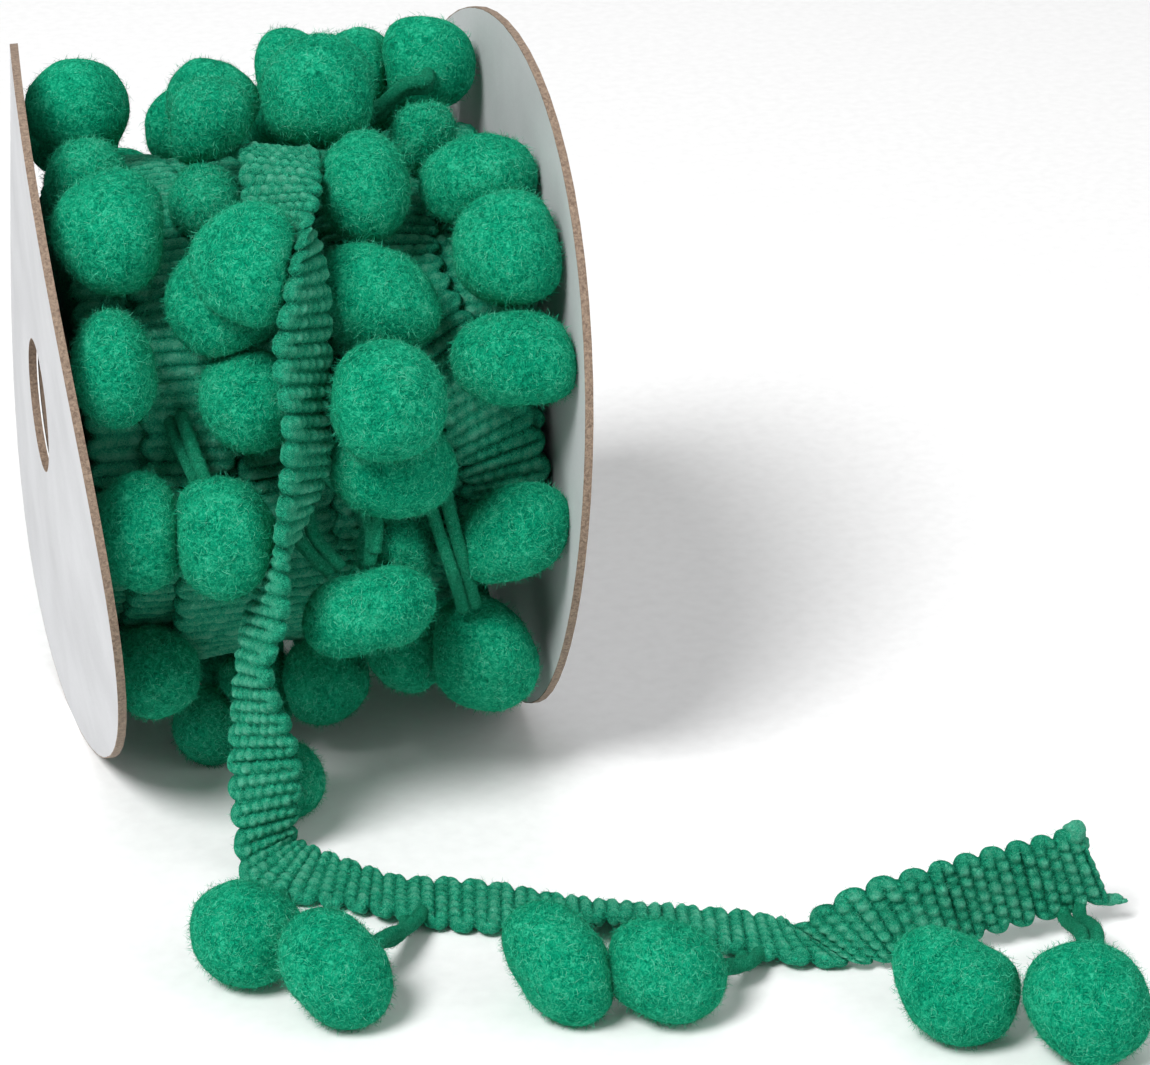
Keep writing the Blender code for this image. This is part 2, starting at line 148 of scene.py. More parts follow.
def node(tree, kind, inputs=None, ramp=None, **settings):
    """Adds a node. inputs maps a socket to a value or to the socket that feeds it, and ramp
    lists a colour ramp's stops as position and hex value."""
    made = tree.nodes.new(kind)
    for name, value in settings.items():
        setattr(made, name, value)
    for socket, value in (inputs or {}).items():
        if isinstance(value, bpy.types.NodeSocket):
            tree.links.new(value, made.inputs[socket])
        else:
            made.inputs[socket].default_value = value
    if ramp:
        stops = made.color_ramp.elements
        while len(stops) < len(ramp):
            stops.new(0.5)
        for stop, (position, colour) in zip(stops, ramp):
            stop.position, stop.color = position, linear(colour)
    return made


def new_material(name):
    """An empty node material and its node tree."""
    made = bpy.data.materials.new(name)
    made.use_nodes = True
    made.node_tree.nodes.clear()
    return made, made.node_tree


def close_material(tree, shader):
    node(tree, "ShaderNodeOutputMaterial", {"Surface": shader.outputs[0]})


print("helpers ready")

# %% [markdown]
# ## Felted pompom yarn
# A pompom is a tuft of brushed acrylic yarn, clipped round and felted. It is quite matt,
# and a dye that is even in the yarn looks mottled in the ball, because fibres on top catch
# the light and the hollows between them do not. That light and shade is painted into the
# colour. The mesh carries a value called shade for each fibre, so tips come out with a
# painted highlight and the ball under them with painted shade, and a noise paints shade
# into the hollows. The hollows are about 0.55 mm across and the finest fuzz about 0.3 mm.

# %% Material: felted acrylic yarn
felt, tree = new_material("felted acrylic yarn, brushed")
place = node(tree, "ShaderNodeTexCoord").outputs["Object"]
# Painted shade: this noise darkens the colour in the hollows between clumps of fibre.
painted_hollow_shade = node(tree, "ShaderNodeTexNoise", {"Vector": place, "Scale": 1 / (0.55 * MM),
              "Detail": 3.0, "Roughness": 0.65, "Distortion": 1.2})
patches = node(tree, "ShaderNodeTexNoise", {"Vector": place, "Scale": 1 / (5 * MM),
               "Detail": 1.0})
fuzz = node(tree, "ShaderNodeTexNoise", {"Vector": place, "Scale": 1 / (0.3 * MM),
            "Detail": 2.0, "Distortion": 1.5})
shade = node(tree, "ShaderNodeAttribute", attribute_name="shade").outputs["Fac"]
stirred = node(tree, "ShaderNodeMath", {0: painted_hollow_shade.outputs["Fac"], 1: 1.7, 2: -0.85},
               operation="MULTIPLY_ADD").outputs[0]
stirred = node(tree, "ShaderNodeMath", {0: patches.outputs["Fac"], 1: 0.3, 2: stirred},
               operation="MULTIPLY_ADD").outputs[0]
stirred = node(tree, "ShaderNodeMath", {0: shade, 1: stirred}, operation="ADD").outputs[0]
# The ramp runs from painted shade at its dark end, through the dye, to painted highlight at its
# pale end.
dye_with_painted_light = node(tree, "ShaderNodeValToRGB", {"Fac": stirred}, ramp=(
    (0.0, "#00684C"), (0.35, "#0A9870"), (0.7, "#39BF95"), (1.0, "#78D6B6")))
nap = node(tree, "ShaderNodeBump", {"Height": fuzz.outputs["Fac"], "Strength": 0.8,
           "Distance": 0.3 * MM})
close_material(tree, node(tree, "ShaderNodeBsdfPrincipled", {
    "Base Color": dye_with_painted_light.outputs["Color"], "Normal": nap.outputs[0], "Roughness": 0.95,
    "Specular IOR Level": 0.03, "Sheen Weight": 0.14, "Sheen Roughness": 0.45,
    "Sheen Tint": linear("#52D6A4")}))
print(felt.name)

# %% [markdown]
# ## Woven tape yarn
# The tape is woven from a soft spun yarn, thick across the ribs. Its gaps are deep and
# narrow and hold shade, so the mesh carries a value called depth, 0 in a gap and 1 on the
# crown of a yarn, and the colour paints that shade in the gaps and a highlight on the crowns.
# The yarn's own twist and loose curls are about 0.6 mm, and the noise that draws them is
# stirred until it looks like small loops; it paints highlight and shade on them as well as
# bumping them.

# %% Material: spun acrylic yarn, woven
def yarn_material(name, painted_gap_shade, middle, crown):
    made, tree = new_material(name)
    place = node(tree, "ShaderNodeTexCoord").outputs["Object"]
    curls = node(tree, "ShaderNodeTexNoise", {"Vector": place, "Scale": 1 / (0.6 * MM),
                 "Detail": 3.0, "Roughness": 0.8, "Distortion": 3.5})
    uneven = node(tree, "ShaderNodeTexNoise", {"Vector": place, "Scale": 1 / (3 * MM),
                  "Detail": 2.0})
    depth = node(tree, "ShaderNodeAttribute", attribute_name="depth").outputs["Fac"]
    # The curl noise paints highlight and shade on the yarn's loops, and the depth value paints
    # shade in the gaps and highlight on the crowns.
    level = node(tree, "ShaderNodeMath", {0: curls.outputs["Fac"], 1: 2.3, 2: -1.12},
                 operation="MULTIPLY_ADD").outputs[0]
    level = node(tree, "ShaderNodeMath", {0: uneven.outputs["Fac"], 1: 0.2, 2: level},
                 operation="MULTIPLY_ADD").outputs[0]
    level = node(tree, "ShaderNodeMath", {0: depth, 1: 0.8, 2: level},
                 operation="MULTIPLY_ADD").outputs[0]
    dye_with_painted_light = node(tree, "ShaderNodeValToRGB", {"Fac": level}, ramp=(
        (0.05, painted_gap_shade), (0.55, middle), (1.0, crown)))
    loops = node(tree, "ShaderNodeBump", {"Height": curls.outputs["Fac"], "Strength": 1.0,
                 "Distance": 0.8 * MM})
    close_material(tree, node(tree, "ShaderNodeBsdfPrincipled", {
        "Base Color": dye_with_painted_light.outputs["Color"], "Normal": loops.outputs[0], "Roughness": 0.85,
        "Specular IOR Level": 0.06, "Sheen Weight": 0.05, "Sheen Roughness": 0.45,
        "Sheen Tint": linear("#52D6A4")}))
    return made


# Each yarn's first colour is painted shade for the gaps and its last a painted highlight for the
# crowns.
woven = yarn_material("spun acrylic yarn, woven", "#00543D", "#28C89A", "#78E4BF")
tie_yarn = yarn_material("spun acrylic yarn, plied ties", "#00573E", "#0E9F74", "#45C69B")
print(woven.name, "and", tie_yarn.name)

# %% [markdown]
# ## White lined card
# The discs are die-cut from brown board with a white paper lining. The white faces are
# smooth and a little uneven, with fibres about 0.4 mm long just showing, and the raw cut
# edge is brown. The edge is found by its distance from the reel's axis, so the same
# material gives the rim, the lining and the edge of the bore.

# %% Material: white lined board with a raw cut edge
def board_material(name, lining, raw):
    made, tree = new_material(name)
    place = node(tree, "ShaderNodeTexCoord").outputs["Object"]
    centred = node(tree, "ShaderNodeMapping", {"Vector": place, "Location": (
        0.0, -SHIFT[1] * MM, -AXIS_HEIGHT * MM)})
    split = node(tree, "ShaderNodeSeparateXYZ", {0: centred.outputs[0]})
    flat = node(tree, "ShaderNodeCombineXYZ", {"Y": split.outputs["Y"], "Z": split.outputs["Z"]})
    radius = node(tree, "ShaderNodeVectorMath", {0: flat.outputs[0]}, operation="LENGTH")
    ragged = node(tree, "ShaderNodeTexNoise", {"Vector": place, "Scale": 1 / (1.5 * MM),
                  "Detail": 4.0, "Roughness": 0.7})
    edge_at = node(tree, "ShaderNodeMath", {0: ragged.outputs["Fac"], 1: 0.3 * MM,
                   2: radius.outputs["Value"]}, operation="MULTIPLY_ADD").outputs[0]
    outside = node(tree, "ShaderNodeMath", {0: edge_at, 1: 44.98 * MM},
                   operation="GREATER_THAN").outputs[0]
    inside = node(tree, "ShaderNodeMath", {0: edge_at, 1: 8.62 * MM},
                  operation="LESS_THAN").outputs[0]
    cut = node(tree, "ShaderNodeMath", {0: outside, 1: inside}, operation="MAXIMUM").outputs[0]
    fibres = node(tree, "ShaderNodeTexNoise", {"Vector": place, "Scale": 1 / (0.4 * MM),
                  "Detail": 4.0, "Roughness": 0.7, "Distortion": 0.6})
    cloudy = node(tree, "ShaderNodeTexNoise", {"Vector": place, "Scale": 1 / (14 * MM),
                  "Detail": 4.0})
    tone_and_painted_light = node(tree, "ShaderNodeMath", {0: fibres.outputs["Fac"], 1: 0.45,
                2: cloudy.outputs["Fac"]}, operation="MULTIPLY_ADD").outputs[0]
    white = node(tree, "ShaderNodeValToRGB", {"Fac": tone_and_painted_light}, ramp=(
        (0.35, lining[0]), (0.95, lining[1])))
    brown = node(tree, "ShaderNodeValToRGB", {"Fac": fibres.outputs["Fac"]}, ramp=(
        (0.3, raw[0]), (0.7, raw[1])))
    colour = node(tree, "ShaderNodeMix", {0: cut, 6: white.outputs[0], 7: brown.outputs[0]},
                  data_type="RGBA")
    grain = node(tree, "ShaderNodeBump", {"Height": fibres.outputs["Fac"], "Strength": 0.25,
                 "Distance": 0.05 * MM})
    close_material(tree, node(tree, "ShaderNodeBsdfPrincipled", {
        "Base Color": colour.outputs[2], "Normal": grain.outputs[0], "Roughness": 0.62,
        "Specular IOR Level": 0.35}))
    return made


card = board_material("white lined board, die cut", ("#B9BABC", "#CDCED0"),
                      ("#5F4C40", "#A8937F"))
core_board = board_material("brown board tube, wound", ("#6E5E50", "#8E7C6C"),
                            ("#66564A", "#8A7868"))
print(card.name, "and", core_board.name)

# %% [markdown]
# ## Table top
# A plain pale sheet of matt paper, with only a trace of tooth at 2 mm, so that the shadow
# under the pompoms is what the eye reads.

# %% Table
paper, tree = new_material("matt background paper")
place = node(tree, "ShaderNodeTexCoord").outputs["Object"]
tooth = node(tree, "ShaderNodeTexNoise", {"Vector": place, "Scale": 1 / (2 * MM),
             "Detail": 2.0})
tint = node(tree, "ShaderNodeValToRGB", {"Fac": tooth.outputs["Fac"]}, ramp=(
    (0.3, "#F6F6F6"), (0.7, "#FBFBFB")))
close_material(tree, node(tree, "ShaderNodeBsdfPrincipled", {
    "Base Color": tint.outputs[0], "Roughness": 0.9, "Specular IOR Level": 0.1}))

bm = bmesh.new()
bmesh.ops.create_grid(bm, x_segments=8, y_segments=8, size=4.0)
floor_mesh = bpy.data.meshes.new("table")
bm.to_mesh(floor_mesh)
bm.free()
floor_mesh.materials.append(paper)
floor = bpy.data.objects.new("table", floor_mesh)
scene.collection.objects.link(floor)
print("table laid")

# %% [markdown]
# ## The reel's discs and tube
# The CAD discs already have the right outline, dish and warp, so they stay and take the
# lined board. The tube between them takes the plain brown board.

# %% Finish the reel
for name in ("left_flange", "right_flange"):
    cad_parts[name].material_slots[0].material = card
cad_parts["core_tube"].material_slots[0].material = core_board
print("reel finished")

# %% [markdown]
# ## Making a piece from arrays
# A pompom has thousands of fibres and a tape thousands of yarn crowns, all alike, so they
# are worked out as arrays and joined in one mesh. The shapes that they grow on start from
# a sphere, a grid or a curve. Each piece rides on the reel's body, stands for its CAD
# solids, and keeps one value for each point that its material reads.

# %% Piece helpers
def arrays(bm):
    """Points and triangles of a bmesh, which is freed."""
    bmesh.ops.triangulate(bm, faces=bm.faces[:])
    bm.verts.index_update()
    points = np.array([vertex.co for vertex in bm.verts], float)
    faces = np.array([[v.index for v in face.verts] for face in bm.faces])
    bm.free()
    return points, faces


def point_normals(points, faces):
    """Outward direction at each point, from the faces round it."""
    a, b, c = (points[faces[:, k]] for k in range(3))
    across = np.cross(b - a, c - a)
    found = np.zeros_like(points)
    for k in range(faces.shape[1]):
        np.add.at(found, faces[:, k], across)
    return found / np.maximum(np.linalg.norm(found, axis=1, keepdims=True), 1e-12)


def joined(parts):
    """One set of points, faces and values from several."""
    points, faces, values, start = [], [], [], 0
    for part_points, part_faces, part_values in parts:
        points.append(part_points)
        faces += [tuple(at + start for at in row) for row in part_faces]
        values.append(np.broadcast_to(part_values, len(part_points)))
        start += len(part_points)
    return np.concatenate(points), faces, np.concatenate(values)


def make_piece(name, parts, value_name, finish, stands_for=()):
    """A shown piece in metres from parts in millimetres of the reel's frame."""
    points, faces, values = joined(parts)
    mesh = bpy.data.meshes.new(name)
    mesh.from_pydata(((points + SHIFT) * MM).tolist(), [], faces)
    mesh.shade_smooth()
    layer = mesh.attributes.new(value_name, "FLOAT", "POINT")
    layer.data.foreach_set("value", values.astype(np.float32))
    mesh.materials.append(finish)
    obj = bpy.data.objects.new(name, mesh)
    scene.collection.objects.link(obj)
    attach(obj, "root")
    if stands_for:
        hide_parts(*stands_for)
    made_triangles.append(sum(len(face) - 2 for face in faces))
    return obj


made_triangles = []
print("piece helpers ready")

# %% [markdown]
# ## Fibres
# A felted fibre lies nearly flat on the ball, curls a little, and is clipped 1 to 2 mm
# long. About half of them stand out and make the soft outline. Each is a ribbon of two
# short faces, 0.05 mm wide, which is coarser than acrylic fibre but as fine as shows here.
# Its width lies along the surface, so that it takes the light as the ball does.

# %% Fibre ribbons
FIBRE_WIDTH = 0.048


def ribbons(roots, outward, length, rise, rng, ball=None, tone_and_painted_light=(0.38, 0.13)):
    """Curled ribbons on a surface. length and rise are one value for each root, and ball is
    the radius that a lying fibre bends round."""
    count = len(roots)
    heading = rng.normal(size=(count, 3))
    heading -= outward * (heading * outward).sum(1, keepdims=True)
    heading /= np.linalg.norm(heading, axis=1, keepdims=True)
    aside = np.cross(outward, heading)
    curl = rng.uniform(-2.2, 2.2, count)[:, None]
    roll = rng.uniform(-0.7, 0.7, count)[:, None]
    arch = rng.uniform(0.02, 0.16, count)[:, None]
    length, rise = length[:, None], rise[:, None]
    spots = []
    for share, width in ((0.0, 0.9), (0.5, 1.0), (1.0, 0.0)):
        way = heading * np.sin(curl * share + 1e-6) / (curl + 1e-6) \
            + aside * (1 - np.cos(curl * share)) / (curl + 1e-6)
        lift = arch * math.sin(math.pi * share) + rise * share ** 1.3 - 0.04
        if ball is not None:
            lift = lift - (length * share) ** 2 / (2 * ball)
        middle = roots + way * length + outward * lift
        facing = aside * np.cos(curl * share) - heading * np.sin(curl * share)
        side = (facing * np.cos(roll) + outward * np.sin(roll)) * width * FIBRE_WIDTH / 2
        spots += [middle - side, middle + side] if width else [middle]
    points = np.stack(spots, 1).reshape(-1, 3)
    points[:, 2] = np.maximum(points[:, 2], 0.03)
    first = np.arange(count)[:, None] * 5
    faces = (first + (0, 2, 3, 1)).tolist() + (first + (2, 4, 3)).tolist()
    # Each fibre's value is its own random tone, set above the surface's value so that it comes
    # out paler than the painted shade under it, and the steps towards the tip paint a highlight
    # there.
    own = np.clip(rng.normal(tone_and_painted_light[0], tone_and_painted_light[1], count), 0.0, 1.0)
    values_with_tip_highlight = own[:, None] + np.array((0, 0, 0.03, 0.03, 0.06))
    return points, faces, values_with_tip_highlight.reshape(-1)


def spread(points, faces, count, rng):
    """Random spots on triangles, even by area, as points and outward directions."""
    a, b, c = (points[faces[:, k]] for k in range(3))
    size = np.linalg.norm(np.cross(b - a, c - a), axis=1)
    chosen = rng.choice(len(faces), count, p=size / size.sum())
    u, v = rng.random((2, count))
    over = u + v > 1
    u[over], v[over] = 1 - u[over], 1 - v[over]
    u, v = u[:, None], v[:, None]
    normals = point_normals(points, faces)
    na, nb, nc = (normals[faces[chosen, k]] for k in range(3))
    roots = a[chosen] * (1 - u - v) + b[chosen] * u + c[chosen] * v
    outward = na * (1 - u - v) + nb * u + nc * v
    return roots, outward / np.linalg.norm(outward, axis=1, keepdims=True)


print("fibre width, mm:", FIBRE_WIDTH)

# %% [markdown]
# ## Pompoms
# A round ball would look machine made. Each real pompom is pressed by its neighbours, by
# the tape, by the disc or by the table, and the CAD solid already holds that shape. A fine
# sphere is shrunk on to the solid from its middle, its facets are smoothed away, and low
# lumps 5 mm and 2 mm across are pushed in and out. Clipping by hand leaves some of them
# longer one way, which the table of pulls gives. Then the fibres go on.

# %% Pompom maker
SMOOTHING = 7
SIDEWAYS = Vector((0.964, -0.266, 0.0))
UPRIGHT = Vector((0.114, 0.414, 0.903))
SWELL = 0.24                # the smoothing draws the ball in by about this much
LUMPS = ((5.5, 0.42), (2.2, 0.16))


def ball(reach_at, seed, pulls=()):
    """A lumpy sphere about the origin. reach_at gives the radius in a direction, and each
    pull is an angle on the clipped side, 0 right and 90 up, and how far it stands out there."""
    bm = bmesh.new()
    bmesh.ops.create_icosphere(bm, subdivisions=4, radius=1)
    for vertex in bm.verts:
        vertex.co = vertex.co * reach_at(vertex.co.normalized())
    for _ in range(SMOOTHING):
        bmesh.ops.smooth_vert(bm, verts=bm.verts[:], factor=0.5, use_axis_x=True,
                              use_axis_y=True, use_axis_z=True)
    for vertex in bm.verts:
        way = vertex.co.normalized()
        push = SWELL
        for angle, out in pulls:
            turn = math.radians(angle)
            aim = SIDEWAYS * math.cos(turn) + UPRIGHT * math.sin(turn)
            push += out * max(0.0, way.dot(aim)) ** 4
        for size, height in LUMPS:
            push += height * noise.noise(vertex.co / size + Vector((seed * 7.3, seed, 0)))
        vertex.co = vertex.co + way * push
    return arrays(bm)


def make_pompom(name, centre, reach_at, seed, fibres, stands_for=(), pulls=()):
    """One felted ball with its fibres, about its centre in the reel's frame."""
    rng = np.random.default_rng(seed)
    points, faces = ball(reach_at, seed, pulls)
    radius = np.linalg.norm(points, axis=1)
    points = points + centre
    points[:, 2] = np.maximum(points[:, 2], 0.05)
    # Painted shade: the ball under the fibres takes low values, darkest in the dips of a noise
    # about 1.6 mm across.
    low = np.array([noise.noise(Vector(point) / 1.6) for point in points])
    parts = [(points, faces.tolist(), 0.17 + 0.16 * low)]
    roots, outward = spread(points, faces, fibres, rng)
    stands = rng.random(fibres) < 0.5
    length = np.where(stands, rng.uniform(0.6, 1.6, fibres), rng.uniform(0.9, 2.2, fibres))
    rise = np.where(stands, 0.15 + rng.random(fibres) ** 1.5 * 0.95,
                    rng.uniform(-0.02, 0.14, fibres))
    parts.append(ribbons(roots, outward, length, rise, rng, ball=radius.mean()))
    return make_piece(name, parts, "shade", felt, stands_for)


print("pompom maker ready")

# %% [markdown]
# The front of the reel and the loose end are seen closest, so their pompoms carry the most
# fibres.

# %% Pompoms that have a CAD solid
PULLS = {
    # clipping is never quite even, so some are longer one way: angle and mm, seen in front
    "tail_pompom_1": ((150, 0.5), (330, 0.3), (60, -0.4)),
    "tail_pompom_2": ((130, 0.6), (-50, 0.8), (40, -0.5), (220, -0.6)),
    "tail_pompom_3": ((120, 1.0), (-60, 0.9), (30, -0.6), (210, -0.9)),
    "tail_pompom_4": ((165, 0.7), (-50, 0.8), (60, -0.4), (230, -0.6)),
    "tail_pompom_5": ((140, 1.9), (60, -0.9), (-50, 0.4), (200, -0.3)),
    "tail_pompom_6": ((150, 0.9), (70, 0.4), (0, 0.5), (-70, 0.7), (215, -0.6), (30, -0.2)),
    "drum_pompom_01": ((180, 0.5), (-80, 0.5), (20, -0.4)),
    "drum_pompom_03": ((0, -1.3), (180, 0.9), (60, 0.5), (-100, 0.5)),
    "drum_pompom_05": ((90, 0.5), (-70, 0.4), (10, 0.4)),
    "drum_pompom_07": ((0, 1.6), (180, -0.4)),
    "drum_pompom_08": ((15, 1.2), (180, -2.6), (100, -0.9), (240, 0.8)),
    "drum_pompom_10": ((180, -2.8), (0, 0.8), (90, 1.0)),
    "drum_pompom_11": ((60, 0.5), (-60, 0.8), (-130, 0.4), (180, -0.4)),
    "drum_pompom_12": ((60, 0.9), (160, 0.4), (-60, -0.3), (210, 0.4)),
    "drum_pompom_14": ((75, 0.8), (-80, 0.5), (170, -0.6)),
    "drum_pompom_15": ((-25, 1.3), (140, 1.0), (50, -0.3)),
    "drum_pompom_17": ((130, 0.7), (-60, 0.5), (40, -0.4)),
    "drum_pompom_18": ((20, 0.4), (-120, 0.4), (110, 0.3)),
    "drum_pompom_19": ((-40, 0.7), (0, 0.4)),
    "drum_pompom_20": ((24, 1.4), (207, 1.7), (115, -1.3), (-70, -1.2)),
    "drum_pompom_23": ((-50, 1.0), (110, 1.6), (30, -0.5), (210, -0.5)),
    "drum_pompom_24": ((25, 1.2), (212, 1.9), (110, -0.6), (-80, -0.3)),
    "drum_pompom_25": ((-20, 1.3), (150, 0.7), (60, -0.3), (-100, -0.4)),
    "drum_pompom_26": ((75, 0.5), (-45, 0.6), (200, 0.3), (20, -0.2)),
    "drum_pompom_27": ((40, 0.7), (180, 0.6)),
    "drum_pompom_29": ((0, 0.5), (-60, 0.6), (150, 0.3)),
    "drum_pompom_28": ((165, -2.2), (105, -1.7)),
    "drum_pompom_34": ((120, -2.6), (170, -3.0)),
}
FRONT_FIBRES, BACK_FIBRES = 4600, 1600
pompoms = {}
for number, name in enumerate(sorted(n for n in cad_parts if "pompom" in n)):
    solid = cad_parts[name].data
    tree = BVHTree.FromPolygons([vertex.co / MM for vertex in solid.vertices],
                                [face.vertices[:] for face in solid.polygons])
    low, high = (np.array(corner, float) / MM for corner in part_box(name))
    middle = Vector((low + high) / 2)

    def reach_at(way, tree=tree, middle=middle):
        hit = tree.ray_cast(middle, way)
        return hit[3] if hit[3] is not None else 6.0

    centre = np.array(middle) - SHIFT
    front = centre[1] < 4
    piece_name = name.replace("drum_pompom", "felt_ball").replace("tail_pompom", "felt_ball_end")
    pompoms[name] = make_pompom(piece_name, centre, reach_at, number + 1,
                                FRONT_FIBRES if front else BACK_FIBRES, (name,),
                                PULLS.get(name, ()))
print("pompoms on CAD solids:", len(pompoms), "triangles", sum(made_triangles))

# %% [markdown]
# The far side of the winding carries rows of pompoms, four and three by turns, which the
# CAD model holds as lumps of the winding. Here each is a ball of its own. The first five
# places already have a ball.

# %% Pompoms of the far side
BACK_FIRST_ANGLE, BACK_ANGLE_STEP, BACK_ROWS = 130.0, 23.5, 7
BACK_FOUR = (-21.4, -7.2, 7.2, 21.4)
BACK_THREE = (-14.4, 0.0, 14.4)
BACK_RADIUS, BACK_SIZE, BACK_PIECES = 35.8, 6.3, 5
back_spots = []
for row in range(BACK_ROWS):
    for column, place_x in enumerate(BACK_THREE if row % 2 else BACK_FOUR):
        sway = 2.5 * math.sin(2.1 * row + 1.7 * column)
        back_spots.append((place_x, BACK_FIRST_ANGLE + row * BACK_ANGLE_STEP + sway,
                           BACK_RADIUS + 0.4 * sway))
for number, spot in enumerate(back_spots[BACK_PIECES:], 1):
    long = BACK_SIZE * (1 + 0.06 * math.sin(3.1 * number))
    make_pompom(f"felt_ball_back_{number:02d}", on_reel(*spot),
                lambda way, long=long: long * (1 + 0.05 * way.z * way.x), 100 + number,
                BACK_FIBRES)
print("far side pompoms:", len(back_spots) - BACK_PIECES, "triangles", sum(made_triangles))

# %% [markdown]
# ## Weave
# The tape is a thick rib weave. Ribs run across it, one each 1.63 mm. Each rib is a row of
# yarn crowns 1.6 mm wide, and the next rib's crowns sit in the gaps of the last. The gap
# between two ribs is deep and dark, the notch between two crowns is shallower. At the
# edges every second rib turns back round the outermost thread, which makes a scallop each
# 3.26 mm. All this is relief on a grid, because its outline and its shade both show.

# %% Weave relief
TAPE_WIDTH = 10.4
RIB, CROWN = 1.63, 1.6
SCALLOP = 2 * RIB
RIB_CYCLE, CROWN_CYCLE = 997, 16        # the uneven crowns repeat after so many
EVEN_ZERO = 40                          # keeps crown numbers above zero across the tape
EDGE_ROUNDING = 7                       # the higher, the squarer the tape's edge
chance = np.random.default_rng(26)
crown_heights = chance.uniform(0.66, 1.14, (RIB_CYCLE, CROWN_CYCLE))


def relief(along, across, notch, start=0):
    """Height of the weave from 0 in a gap to about 1, along and across the tape in mm."""
    rib = np.floor(along / RIB)
    rise = np.abs(np.sin(np.pi * along / RIB)) ** 0.55
    offset = across / CROWN + 0.5 * (rib % 2)
    crown = np.abs(np.sin(np.pi * offset)) ** 0.6
    own = crown_heights[(rib + start).astype(int) % RIB_CYCLE,
                        np.floor(offset).astype(int) % CROWN_CYCLE]
    return rise * (1 - notch * (1 - crown)) * own


def lobes(along, side):
    """The scallops of one edge, from 0 in a nick to 1. The two edges take turns."""
    return np.abs(np.sin(np.pi * (along + (side < 0) * RIB) / SCALLOP)) ** 0.6


def half_width(along, side):
    """Half the tape's width with its scallops."""
    return TAPE_WIDTH / 2 - 0.75 + 1.35 * lobes(along, side)


def edged(height, share, along, curl=0.0):
    """The relief with its ribs run together in pairs at the scalloped edges. curl widens
    the band of the plain edge, from 0 to 1."""
    start = 0.74 - 0.44 * curl * (share > 0)
    edge = np.clip((np.abs(share) - start) / 0.2, 0, 1)
    return height * (1 - 0.6 * edge) + 0.48 * lobes(along, share) * edge


def grid_faces(rows, columns):
    """Faces of a grid of points in rows."""
    at = np.arange(rows - 1)[:, None] * columns + np.arange(columns - 1)
    at = at.reshape(-1, 1)
    return at + np.array((0, 1, columns + 1, columns))


print("rib", RIB, "crown", CROWN, "scallop", SCALLOP)

# %% [markdown]
# ## The loose end
# The loose end is one sheet that comes off the top of the winding, turns edge on, hangs,
# rounds a corner on the table, runs forward with one edge propped on its pompoms, and at
# last stands on that edge. Its two edges go station by station as in the CAD model, apart
# from a few at the twist that are moved by up to 2 mm, and a smooth curve goes through
# each. The sheet between them is the tape. It gets relief on both faces, and the faces meet
# in a rounded, scalloped edge.

